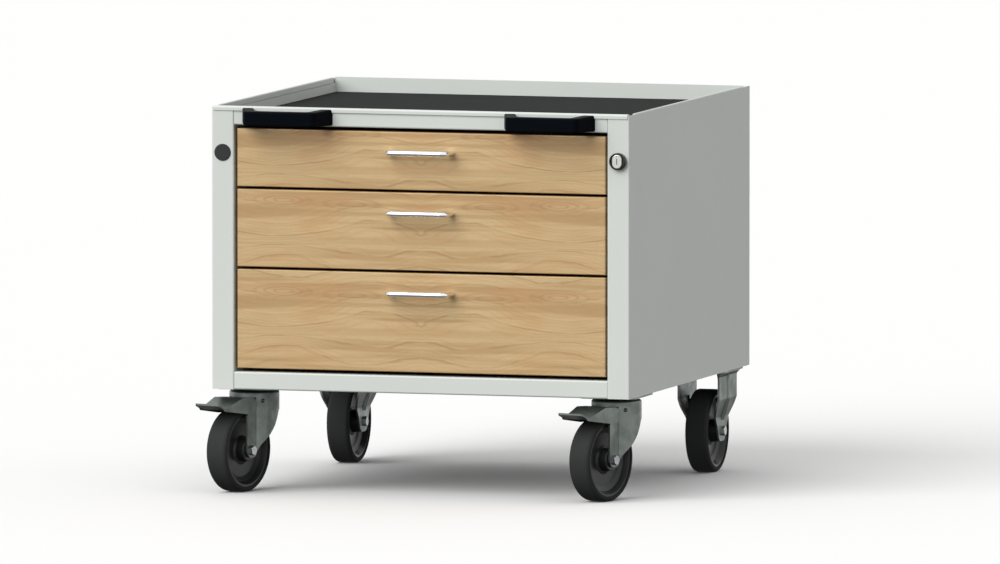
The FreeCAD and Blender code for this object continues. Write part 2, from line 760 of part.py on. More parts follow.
def lock_core():
    """The turning core: an oval face with a keyway, and a plug that runs through the barrel."""
    half = LOCK_FACE_WIDTH / 2
    height = LOCK_FACE_HEIGHT / 2
    corners = [V(LOCK_X + sx * half, LOCK_FACE_Y, LOCK_Z + sz * height)
               for sx, sz in ((-1, -1), (1, -1), (1, 1), (-1, 1))]
    oval = prism(corners, BACK * LOCK_FACE_DEPTH, half - LOCK_FACE_FLAT)
    oval = oval.makeFillet(LOCK_FACE_EDGE, front_rim(oval, LOCK_FACE_Y))
    plug_start = LOCK_FACE_Y + LOCK_FACE_DEPTH / 2
    plug = cylinder(LOCK_CORE, V(LOCK_X, plug_start, LOCK_Z), BACK, FRONT + LOCK_CORE_END - plug_start)
    keyway = block((LOCK_X - KEYWAY_WIDTH / 2, LOCK_X + KEYWAY_WIDTH / 2),
                   (LOCK_FACE_Y - 1, LOCK_FACE_Y + KEYWAY_DEPTH),
                   (LOCK_Z - KEYWAY_HEIGHT / 2, LOCK_Z + KEYWAY_HEIGHT / 2))
    eye = cylinder(KEYHOLE_EYE, V(LOCK_X, LOCK_FACE_Y - 1, LOCK_Z + KEYHOLE_EYE_LIFT), BACK, 3)
    return plug.fuse(oval).cut(keyway.fuse(eye))


def cam_pin_place():
    """The middle of the crank's pin before the lock is turned, level with the core's rear end."""
    angle = math.radians(CAM_START)
    arm = V(-math.cos(angle), 0, math.sin(angle)) * CAM_RADIUS
    return V(LOCK_X, FRONT + LOCK_CORE_END, LOCK_Z) + arm


def lock_cam():
    """A crank on the back of the core whose pin works in the locking bar's slot."""
    start = V(LOCK_X, FRONT + LOCK_CORE_END, LOCK_Z)
    pin = cam_pin_place()
    boss = cylinder(CAM_BOSS, start, BACK, CAM_SHEET)
    end = cylinder(CAM_END, pin, BACK, CAM_SHEET)
    across = (pin - start).normalize().cross(BACK) * CAM_END
    link = prism([start - across, pin - across, pin + across, start + across], BACK * CAM_SHEET)
    return boss.fuse([end, link, cylinder(CAM_PIN, pin, BACK, CAM_PIN_LENGTH)]).removeSplitter()


def locking_bar():
    """A flat bar behind the right post, with a slot for the crank's pin and a tab for each drawer."""
    bar = block(BAR_X, BAR_Y, (hook_level(3) - TAB_DROP - BAR_BELOW_TAB, LOCK_Z + BAR_ABOVE_LOCK))
    slot_z = cam_pin_place().z
    slot_end = cam_pin_place().x
    reach = CAM_PIN + CAM_PIN_PLAY
    lobe = block((BAR_X[0], LOCK_X + 1), BAR_Y, (slot_z - BAR_LOBE, slot_z + BAR_LOBE))
    slot = block((LOCK_X - CAM_RADIUS - reach, slot_end + reach), (BAR_Y[0] - 1, BAR_Y[1] + 1),
                 (slot_z - reach, slot_z + reach))
    tabs = []
    for number in LEVELS:
        tab_top = hook_level(number) - TAB_DROP
        tabs.append(block((OPENING - TAB_REACH, BAR_X[0] + 1), BAR_Y, (tab_top - TAB_HEIGHT, tab_top)))
    return bar.fuse([lobe] + tabs).removeSplitter().cut(slot)


def locking_bar_guides():
    """Two clips on the front slide post that hold the bar and let it slide up and down."""
    post_face = SLIDE_POST_Y[0] - SLIDE_POST_WIDTH / 2
    outer = GUIDE_PLAY + GUIDE_WALL
    guides = []
    for number, lift in GUIDE_LIFTS.items():
        z = LEVELS[number][1] + lift
        body = block((BAR_X[0] - outer, BAR_X[1] + outer), (BAR_Y[0] - GUIDE_WALL, post_face),
                     (z, z + GUIDE_HEIGHT))
        room = block((BAR_X[0] - GUIDE_PLAY, BAR_X[1] + GUIDE_PLAY),
                     (BAR_Y[0] - GUIDE_PLAY, BAR_Y[1] + GUIDE_PLAY), (z - 1, z + GUIDE_HEIGHT + 1))
        guides.append(body.cut(room))
    return group(guides)


# Casters. Each is drawn at its own axis, wheel axle along X and trailing towards the front.

def front_caster(shape, side):
    """Turns a front caster's piece to its resting swivel angle and puts it under its corner."""
    placed = shape.copy()
    placed.rotate(V(0, 0, 0), UP, SWIVEL_AT_REST)
    placed.translate(V(side * CASTER_X, FRONT_CASTER_Y, 0))
    return placed


def screw_places():
    places = []
    for side in (-1, 1):
        for centre_y, (dx, dy) in ((FRONT_CASTER_Y, FRONT_HOLES), (REAR_CASTER_Y, REAR_HOLES)):
            places += [(side * CASTER_X + sx * dx, centre_y + sy * dy) for sx in (-1, 1) for sy in (-1, 1)]
    return places


def countersink(x, y, growth):
    """The cone of a flush screw head in a caster plate, grown all round by growth."""
    radius = M6["head_radius"] + growth
    return Part.makeCone(radius, radius - PLATE_THICKNESS, PLATE_THICKNESS, V(x, y, PLATE_Z))


def caster_plate(holes):
    """The flat top plate of a caster, centred on its own axis, with four countersunk holes."""
    half_x = PLATE_X / 2
    half_y = PLATE_Y / 2
    plate = rounded_block((-half_x, half_x), (-half_y, half_y), (PLATE_Z, CASTER_HEIGHT), PLATE_CORNER)
    return plate.cut(group([countersink(sx * holes[0], sy * holes[1], THREAD_CLEARANCE)
                            for sx in (-1, 1) for sy in (-1, 1)]))


def caster_plate_front():
    """A swivel caster's plate with its ball race and kingpin."""
    race_low = CUP_TOP + RACE_GAP
    race = Part.makeCone(CUP_RADIUS - 6, CUP_RADIUS - 2, PLATE_Z - race_low, V(0, 0, race_low))
    head_low = CUP_TOP - KINGPIN_HEAD_HEIGHT - CUP_EDGE - 0.4
    pin = cylinder(KINGPIN, V(0, 0, head_low), UP, PLATE_Z - head_low)
    head = cylinder(KINGPIN_HEAD, V(0, 0, head_low), UP, KINGPIN_HEAD_HEIGHT)
    return caster_plate(FRONT_HOLES).fuse([race, pin, head]).removeSplitter()


def caster_fork():
    """A pressed fork: a round cup that turns on the kingpin over a barrel whose front half is open for
    the wheel and whose lower edge slants down to two flat legs that hold the axle."""
    cup = cylinder(CUP_RADIUS, V(0, 0, CUP_LOW), UP, CUP_HEIGHT)
    cup = cup.makeFillet(CUP_EDGE, [e for e in cup.Edges if abs(e.BoundBox.ZMin - CUP_TOP) < 1e-6])
    low = WHEEL_RADIUS - LEG_END
    barrel = cylinder(CUP_RADIUS, V(0, 0, low), UP, CUP_LOW - low)
    hollow = cylinder(CUP_RADIUS - LEG_THICKNESS, V(0, 0, low - 1), UP, CUP_TOP - CUP_EDGE - low + 1)
    side_view = [
        (-TRAIL - LEG_END, 116.0),
        (-TRAIL - LEG_END, low),
        (-TRAIL + LEG_END, low),
        (LEG_BACK, 68.0),
        (LEG_BACK, CUP_LOW + 1),
        (-30.0, CUP_LOW + 1),
    ]
    radii = [6.0, LEG_END - 0.1, 8.0, 0, 0, 0]
    legs = [prism([V(side * LEG_INNER, t, z) for t, z in side_view], RIGHT * (side * LEG_THICKNESS), radii)
            for side in (-1, 1)]
    lower_edge = [
        (-60.0, low - 2),
        (-31.0, low + 3),
        (-24.7, 70.0),
        (-9.6, 86.0),
        (0.0, 98.0),
        (13.6, 120.0),
        (30.0, 124.5),
        (CUP_RADIUS + 2, 126.0),
        (CUP_RADIUS + 2, low - 2),
    ]
    edge_radii = [0, 10.0, 30.0, 60.0, 60.0, 12.0, 20.0, 0, 0]
    below = prism([V(-CUP_RADIUS - 2, t, z) for t, z in lower_edge], RIGHT * (2 * CUP_RADIUS + 4), edge_radii)
    wheel_way = block((-LEG_INNER, LEG_INNER), (-CUP_RADIUS - 1, WHEEL_WAY_BACK), (low - 1, CUP_LOW))
    barrel = barrel.cut(hollow).cut(below.fuse(wheel_way))
    fork = cup.cut(hollow).fuse([barrel] + legs).removeSplitter()
    kingpin = cylinder(KINGPIN + RUNNING_CLEARANCE, V(0, 0, CUP_LOW), UP, 2 * CUP_HEIGHT)
    axle = cross_bar(AXLE_RADIUS + THREAD_CLEARANCE, V(0, -TRAIL, WHEEL_RADIUS), CUP_RADIUS + 2)
    pivot = cross_bar(PEDAL_PIN + THREAD_CLEARANCE, V(0, PEDAL_PIVOT_T, PEDAL_PIVOT_Z), CUP_RADIUS + 2)
    return fork.cut(kingpin.fuse([axle, pivot]))


def cross_bar(radius, centre, half_length):
    """A round bar along X, centred on a point."""
    return cylinder(radius, centre - RIGHT * half_length, RIGHT, 2 * half_length)


def axle_bolt(outer, centre):
    """A hexagon bolt across two legs whose outer faces are outer from the middle, with its nut."""
    past_nut = M8["nut"] + 1
    shank = cylinder(M8["radius"], centre - RIGHT * (outer + past_nut), RIGHT, 2 * outer + past_nut)
    head = hexagon(M8["flats"], centre + RIGHT * outer, RIGHT, M8["head"])
    nut = hexagon(M8["flats"], centre - RIGHT * outer, -RIGHT, M8["nut"])
    return [shank.fuse(head), nut.cut(shank)]


def fork_bolts():
    """The front axle bolt and nut, and the pedal's pivot pin."""
    pin_half = math.sqrt((CUP_RADIUS - LEG_THICKNESS / 2) ** 2 - PEDAL_PIVOT_T ** 2)
    pin = cross_bar(PEDAL_PIN, V(0, PEDAL_PIVOT_T, PEDAL_PIVOT_Z), pin_half)
    return group(axle_bolt(LEG_OUTER, V(0, -TRAIL, WHEEL_RADIUS)) + [pin])


def pedal_plan(inset, z, height):
    """The pedal's outline from above, moved inward by inset and extruded from z by height."""
    half = PEDAL_HALF - inset
    toe_half = PEDAL_TOE_HALF - inset
    narrow, wide = PEDAL_TAPER
    right = [V(half, 0, z), V(half, wide, z), V(toe_half, narrow, z), V(toe_half, PEDAL_TOE, z)]
    left = [V(-p.x, p.y, z) for p in right[::-1]]
    return prism(right + left, UP * height, [0, 0, 0, PEDAL_TOE_CORNER, PEDAL_TOE_CORNER, 0, 0, 0])


def brake_pedal():
    """A pressed channel with a turned-up toe that straddles the legs, hung inside the barrel on two
    arms, with a shoe above the tyre."""
    low = 110.0
    height = CUP_TOP - low
    wide = PEDAL_HALF + 1
    top_line = [(PEDAL_TOE - 3, 138.2), (-107.0, 129.0), (-67.8, 142.4), (PEDAL_REAR, 141.0)]
    top = folded_sheet([V(wide, t, z) for t, z in top_line], RIGHT * (-2 * wide), PEDAL_SHEET, PEDAL_SHEET)
    top = top.common(pedal_plan(0, low, height))
    side_view = [(-31.0, 134.0), (PEDAL_REAR + 1, 140.2), (-67.8, 141.2), (-107.0, 127.8), (-115.0, 131.2),
                 (-111.0, 125.6), (-58.3, 118.1), (-33.0, 118.0)]
    radii = [2.0, 3.0, 6.0, 0, 0, 3.0, 12.0, 3.0]
    across = prism([V(-wide, t, z) for t, z in side_view], RIGHT * (2 * wide), radii)
    cheeks = pedal_plan(0, low, height).cut(pedal_plan(PEDAL_CHEEK, low - 1, height + 2)).common(across)
    arm_view = [(-72.0, 128.5), (-72.0, 137.0), (-57.0, 140.5), (PEDAL_REAR, 138.8), (-16.0, 140.0),
                (-16.0, 130.0), (-30.0, 130.0)]
    arm_radii = [0, 0, 0, 0, 4.0, 4.0, 0]
    inner, outer = PEDAL_ARM
    arms = [prism([V(side * inner, t, z) for t, z in arm_view], RIGHT * (side * (outer - inner)), arm_radii)
            for side in (-1, 1)]
    shoe = block((-inner - 1, inner + 1), (-52.0, -38.0), (129.8, 133.5))
    pedal = top.fuse([cheeks, shoe] + arms).removeSplitter()
    return pedal.cut(cross_bar(PEDAL_PIN + RUNNING_CLEARANCE, V(0, PEDAL_PIVOT_T, PEDAL_PIVOT_Z), CUP_RADIUS))


def turned(section, centre):
    """A ring turned about the axle from a closed section of (along axle, radius) points."""
    points = [V(x, centre.y, centre.z + r) for x, r in section]
    wire = Part.makePolygon(points + [points[0]])
    return Part.Face(wire).revolve(centre, RIGHT, 360)


def wheel_core(centre):
    """A moulded wheel centre: rim, dished web, hub and axle bore."""
    rim = RIM_HALF
    bore = AXLE_RADIUS + RUNNING_CLEARANCE
    half_section = [(rim, RIM_RADIUS), (rim, 51.5), (rim - 2.0, 50.5), (8.0, 47.5), (5.0, 40.0),
                    (5.0, 22.0), (7.0, 17.5), (HUB_HALF - 1.0, 16.5), (HUB_HALF, 15.5), (HUB_HALF, bore)]
    section = half_section + [(-x, r) for x, r in half_section[::-1]]
    return turned(section, centre)


def tyre(centre):
    """A solid tyre with rounded shoulders on the wheel centre's rim."""
    half = TYRE_HALF
    corners = [V(-half, 0, RIM_RADIUS), V(-half, 0, WHEEL_RADIUS),
               V(half, 0, WHEEL_RADIUS), V(half, 0, RIM_RADIUS)]
    edges = rounded_edges([centre + p for p in corners], [0, TYRE_SHOULDER, TYRE_SHOULDER, 0], True)
    return Part.Face(Part.Wire(edges)).revolve(centre, RIGHT, 360)


def rear_leg(side):
    """One leg of a fixed caster: a ribbed sheet that leans in to the axle, flared out at the plate."""
    bend_low, bend_high = REAR_LEG_BEND
    half_y = REAR_LEG_HALF
    path = [
        V(side * REAR_LEG_TOP, 0, PLATE_Z + 1),
        V(side * REAR_LEG_TOP, 0, bend_high),
        V(side * REAR_LEG_AXLE, 0, bend_low),
        V(side * REAR_LEG_AXLE, 0, REAR_LEG_END),
    ]
    run = BACK * (side * 2 * (half_y + 8))
    sheet = folded_sheet([p - run / 2 for p in path], run, LEG_THICKNESS, 2 * LEG_THICKNESS)
    right_half = [(15.0, REAR_LEG_END), (25.0, 70.0), (half_y, 101.0), (half_y, PLATE_Z - 9),
                  (half_y + 6, PLATE_Z + 0.5)]
    radii = [14.0, 20.0, 20.0, 10.0, 0]
    outline = [V(side * 15, t, z) for t, z in right_half] + [V(side * 15, -t, z) for t, z in right_half[::-1]]
    sheet = sheet.common(prism(outline, RIGHT * (side * 30), radii + radii[::-1]))
    rib_x = REAR_LEG_TOP - LEG_THICKNESS / 2
    rib_line = [V(side * rib_x, 0, PLATE_Z), V(side * rib_x, 0, bend_high),
                V(side * (REAR_LEG_AXLE - 1), 0, bend_low - REAR_RIB)]
    ribs = [cylinder(REAR_RIB, start, (end - start).normalize(), (end - start).Length)
            for start, end in zip(rib_line, rib_line[1:])]
    flare_low = PLATE_Z - REAR_FLARE
    inner = REAR_LEG_TOP - 2
    flare_view = [(inner, flare_low), (REAR_LEG_TOP, flare_low), (REAR_LEG_TOP + REAR_FLARE, PLATE_Z + 0.5),
                  (inner, PLATE_Z + 0.5)]
    flare = [V(side * x, -half_y, z) for x, z in flare_view]
    return [sheet, Part.makeSphere(REAR_RIB, rib_line[1]), prism(flare, BACK * (2 * half_y))] + ribs


def rear_bracket():
    """A fixed caster's bracket: two legs under its top plate."""
    bracket = caster_plate(REAR_HOLES).fuse(rear_leg(-1) + rear_leg(1)).removeSplitter()
    wide = REAR_LEG_TOP - LEG_THICKNESS
    narrow = REAR_LEG_AXLE - LEG_THICKNESS
    reach = PLATE_Y / 2 + 8
    split = REAR_LEG_BEND[1] + 3
    above = block((-wide, wide), (-reach, reach), (split, PLATE_Z))
    beside_wheel = block((-narrow, narrow), (-reach, reach), (REAR_LEG_END - 1, split + 1))
    axle = cross_bar(AXLE_RADIUS + THREAD_CLEARANCE, V(0, 0, WHEEL_RADIUS), CUP_RADIUS)
    return bracket.cut(above.fuse([beside_wheel, axle]))


def rear_place(side):
    return V(side * CASTER_X, REAR_CASTER_Y, 0)


def rear_axle_bolts():
    bolts = []
    for side in (-1, 1):
        for solid in axle_bolt(REAR_LEG_AXLE, V(0, 0, WHEEL_RADIUS)):
            bolts.append(moved(solid, rear_place(side)))
    return group(bolts)


def caster_screws():
    """Sixteen countersunk screws, flush with the undersides of the caster plates."""
    screws = []
    for x, y in screw_places():
        length = BASE_TOP - PLATE_Z + M6["nut"] + 2
        screws.append(countersink(x, y, 0).fuse(cylinder(M6["radius"], V(x, y, PLATE_Z), UP, length)))
    return group(screws)


def caster_nuts():
    nuts = []
    for x, y in screw_places():
        nut = hexagon(M6["flats"], V(x, y, BASE_TOP), UP, M6["nut"])
        bore = cylinder(M6["radius"] + THREAD_CLEARANCE, V(x, y, BASE_TOP - 1), UP, M6["nut"] + 2)
        nuts.append(nut.cut(bore))
    return group(nuts)


# All pieces by name

def pieces():
    parts = {
        "side_panel_right": side_panel(),
        "side_panel_left": mirrored(side_panel()),
        "back_panel": back_panel(),
        "base_panel": base_panel(),
        "base_front_rail": base_front_rail(),
        "top_front_rail": top_front_rail(),
        "top_tray": top_tray(),
        "rubber_mat": rubber_mat(),
        "slide_posts": slide_posts(),
        "cabinet_rails": cabinet_rails(),
        "push_handle_left": push_handle(push_centres()[0]),
        "push_handle_right": push_handle(push_centres()[1]),
        "push_handle_screws": push_handle_screws(),
        "blind_plug": blind_plug(),
        "lock_housing": lock_housing(),
        "lock_nut": lock_nut(),
        "lock_core": lock_core(),
        "lock_cam": lock_cam(),
        "locking_bar": locking_bar(),
        "locking_bar_guides": locking_bar_guides(),
        "rear_axle_bolts": rear_axle_bolts(),
        "caster_screws": caster_screws(),
        "caster_nuts": caster_nuts(),
    }
    for number in LEVELS:
        parts[f"drawer_{number}_box"] = drawer_box(number)
        parts[f"drawer_{number}_front"] = drawer_front(number)
        parts[f"drawer_{number}_handle"] = drawer_handle(number)
        parts[f"drawer_{number}_screws"] = drawer_screws(number)
        parts[f"drawer_{number}_rails"] = drawer_rails(number)
        parts[f"middle_rails_{number}"] = middle_rails(number)
    front_axle = V(0, -TRAIL, WHEEL_RADIUS)
    rear_axle = V(0, 0, WHEEL_RADIUS)
    for name, side in (("left", -1), ("right", 1)):
        corner = V(side * CASTER_X, FRONT_CASTER_Y, 0)
        parts[f"caster_plate_front_{name}"] = moved(caster_plate_front(), corner)
        parts[f"caster_fork_{name}"] = front_caster(caster_fork(), side)
        parts[f"fork_bolts_{name}"] = front_caster(fork_bolts(), side)
        parts[f"brake_pedal_{name}"] = front_caster(brake_pedal(), side)
        parts[f"wheel_core_front_{name}"] = front_caster(wheel_core(front_axle), side)
        parts[f"tyre_front_{name}"] = front_caster(tyre(front_axle), side)
        parts[f"rear_bracket_{name}"] = moved(rear_bracket(), rear_place(side))
        parts[f"wheel_core_rear_{name}"] = moved(wheel_core(rear_axle), rear_place(side))
        parts[f"tyre_rear_{name}"] = moved(tyre(rear_axle), rear_place(side))
    return parts


def write_parts():
    os.makedirs("parts", exist_ok=True)
    for name, shape in pieces().items():
        moved(shape, FRAME_SHIFT).exportStep(f"parts/{name}.step")
        state = "ok" if shape.isValid() else "NOT VALID"
        print(f"{name}: {len(shape.Solids)} solids, {shape.Volume / 1000:.1f} cm3, {state}")


write_parts()
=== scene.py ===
import math

import bpy
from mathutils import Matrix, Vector


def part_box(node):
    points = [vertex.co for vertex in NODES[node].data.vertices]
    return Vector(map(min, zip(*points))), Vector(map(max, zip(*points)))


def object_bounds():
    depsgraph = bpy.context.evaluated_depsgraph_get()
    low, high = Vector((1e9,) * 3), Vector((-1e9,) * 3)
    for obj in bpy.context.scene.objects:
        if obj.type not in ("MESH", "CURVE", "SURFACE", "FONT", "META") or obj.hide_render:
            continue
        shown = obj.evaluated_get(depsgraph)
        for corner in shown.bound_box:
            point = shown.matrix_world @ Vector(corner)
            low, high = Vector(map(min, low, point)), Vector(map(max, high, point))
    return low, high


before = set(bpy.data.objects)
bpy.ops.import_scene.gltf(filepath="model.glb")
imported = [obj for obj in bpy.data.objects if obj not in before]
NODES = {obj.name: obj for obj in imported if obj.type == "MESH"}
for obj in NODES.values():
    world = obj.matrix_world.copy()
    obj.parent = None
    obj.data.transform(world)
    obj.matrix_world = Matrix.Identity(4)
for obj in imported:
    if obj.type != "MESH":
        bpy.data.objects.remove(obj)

# The finish of a mobile drawer cabinet: powder-coated steel, beech fronts, chrome handles, a rubber mat
# and zinc-plated casters, on a pale floor in soft light. Metres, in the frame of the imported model.
CAD_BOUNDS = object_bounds()

# Camera, at the height and angle of a catalogue view
YAW = 16.8
ELEVATION = 4.68
DISTANCE = 37.55
LENS = 900.0
SENSOR = 36.0
AIM_RIGHT_OF_CASING = 0.01825
AIM_BEHIND_CASING = 0.03088
AIM_HEIGHT = 0.2965

# Light, as the share of full white that the source gives a surface that faces it
KEY_LIGHT = 0.78
KEY_ELEVATION = 33.0
KEY_AZIMUTH = -29.0
KEY_SOFTNESS = 50.0
ROOM_LEVEL = 0.42
ROOM_LIFT = 0.50
MIRROR_HIGH = 1.05
MIRROR_LOW = 0.20
MIRROR_HORIZON = (-0.32, -0.10)
BACKDROP = 1.0
FLOOR_COLOUR = (0.85, 0.85, 0.845)
FLOOR_HALF = 60.0

# Beech figure: places and spacings in millimetres from the middle of a front, and the wood's tones
KNOT_ACROSS = 215.0
KNOT_UP = 43.0
HEART_ACROSS = 108.0
HEART_UP = 39.0
FIGURE_WAVE = 280.0
FIGURE_SWING = 13.0
FIGURE_TURN = -17.0
FIGURE_BLEND = 25.0
FIGURE_WANDER = 42.0
FIGURE_FLUTTER = 7.0
RING_SPACING = 25.0
FINE_SPACING = 6.5
BEECH_PALE = (0.610, 0.432, 0.215)
BEECH_DEEP = (0.450, 0.282, 0.118)
BEECH_BLUSH = (0.545, 0.295, 0.120)
BEECH_LINE = (0.310, 0.175, 0.068)

MM = 0.001


# Places taken from the frame

def middle(node):
    low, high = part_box(node)
    return (low + high) / 2


def casing_centre():
    left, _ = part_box("side_panel_left")
    _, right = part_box("side_panel_right")
    return (left + right) / 2


# Materials

class Value:
    """The output of a node, usable in sums, products and comparisons of a material's graph."""

    def __init__(self, graph, socket):
        self.graph = graph
        self.socket = socket

    def __add__(self, other):
        return self.graph.math("ADD", self, other)

    def __sub__(self, other):
        return self.graph.math("SUBTRACT", self, other)

    def __mul__(self, other):
        return self.graph.math("MULTIPLY", self, other)

    def __truediv__(self, other):
        return self.graph.math("DIVIDE", self, other)

    def power(self, exponent):
        return self.graph.math("POWER", self, exponent)

    def absolute(self):
        return self.graph.math("ABSOLUTE", self, 0.0)

    def fraction(self):
        return self.graph.math("FRACT", self, 0.0)

    def cosine(self):
        return self.graph.math("COSINE", self, 0.0)

    def root(self):
        return self.graph.math("SQRT", self, 0.0)

    def limited(self):
        return self.graph.math("ADD", self, 0.0, clamp=True)


class Graph:
    """The node graph of one material, built by calls that each add one node."""

    def __init__(self, name):
        self.material = bpy.data.materials.new(name)
        self.material.use_nodes = True
        self.tree = self.material.node_tree
        self.tree.nodes.clear()
        self.place = self.node("ShaderNodeTexCoord").outputs["Object"]

    def node(self, kind, **settings):
        made = self.tree.nodes.new(kind)
        for name, value in settings.items():
            setattr(made, name, value)
        return made

    def put(self, socket, value):
        if isinstance(value, Value):
            value = value.socket
        if isinstance(value, bpy.types.NodeSocket):
            self.tree.links.new(value, socket)
        else:
            socket.default_value = value

    def math(self, operation, a, b, clamp=False):
        made = self.node("ShaderNodeMath", operation=operation, use_clamp=clamp)
        self.put(made.inputs[0], a)
        self.put(made.inputs[1], b)
        return Value(self, made.outputs[0])

    def axes(self, vector):
        made = self.node("ShaderNodeSeparateXYZ")
        self.put(made.inputs[0], vector)
        return [Value(self, output) for output in made.outputs]

    def point(self, x, y, z):
        made = self.node("ShaderNodeCombineXYZ")
        for socket, value in zip(made.inputs, (x, y, z)):
            self.put(socket, value)
        return made.outputs[0]

    def stretched(self, vector, factors):
        made = self.node("ShaderNodeVectorMath", operation="MULTIPLY")
        self.put(made.inputs[0], vector)
        self.put(made.inputs[1], factors)
        return made.outputs[0]

    def noise(self, vector, scale, detail, roughness=0.5):
        made = self.node("ShaderNodeTexNoise")
        self.put(made.inputs["Vector"], vector)
        self.put(made.inputs["Scale"], scale)
        self.put(made.inputs["Detail"], detail)
        self.put(made.inputs["Roughness"], roughness)
        return Value(self, made.outputs[0])

    def cells(self, vector, scale):
        made = self.node("ShaderNodeTexVoronoi", feature="F1")
        self.put(made.inputs["Vector"], vector)
        self.put(made.inputs["Scale"], scale)
        return Value(self, made.outputs["Distance"])

    def spread(self, value, low, high, start=0.0, end=1.0):
        made = self.node("ShaderNodeMapRange", interpolation_type="SMOOTHSTEP")
        for name, number in (("Value", value), ("From Min", low), ("From Max", high),
                             ("To Min", start), ("To Max", end)):
            self.put(made.inputs[name], number)
        return Value(self, made.outputs[0])

    def mix(self, factor, a, b, blend="MIX"):
        made = self.node("ShaderNodeMix", data_type="RGBA", blend_type=blend)
        self.put(made.inputs["Factor"], factor)
        colours = [socket for socket in made.inputs if socket.type == "RGBA"]
        self.put(colours[0], opaque(a))
        self.put(colours[1], opaque(b))
        return [socket for socket in made.outputs if socket.type == "RGBA"][0]

    def bump(self, height, strength, distance, normal=None):
        made = self.node("ShaderNodeBump")
        self.put(made.inputs["Height"], height)
        self.put(made.inputs["Strength"], strength)
        self.put(made.inputs["Distance"], distance)
        if normal is not None:
            self.put(made.inputs["Normal"], normal)
        return made.outputs[0]

    def surface(self, **inputs):
        shader = self.node("ShaderNodeBsdfPrincipled")
        for name, value in inputs.items():
            value = opaque(value) if isinstance(value, tuple) else value
            self.put(shader.inputs[name.replace("_", " ")], value)
        output = self.node("ShaderNodeOutputMaterial")
        self.tree.links.new(shader.outputs[0], output.inputs["Surface"])
        return self.material


def opaque(colour):
    return (*colour, 1.0) if isinstance(colour, tuple) and len(colour) == 3 else colour


def shade(colour, factor):
    return tuple(channel * factor for channel in colour)


def powder_coat(name, colour):
    """Sprayed and baked paint: an orange-peel skin a millimetre or two across, and a faint drift of tone."""
    g = Graph(name)
    drift = g.noise(g.place, 5.0, 3.0)
    peel = g.noise(g.place, 420.0, 1.5, 0.45)
    speck = g.noise(g.place, 2600.0, 1.0)
    tone = g.mix(g.spread(drift, 0.3, 0.7), shade(colour, 0.985), shade(colour, 1.015))
    tone = g.mix(g.spread(speck, 0.35, 0.7, 0.0, 0.10), tone, shade(colour, 0.90))
    skin = g.bump(peel, 0.10, 0.0006)
    skin = g.bump(speck, 0.05, 0.0002, skin)
    return g.surface(Base_Color=tone, Roughness=g.spread(peel, 0.2, 0.8, 0.40, 0.52), Normal=skin)


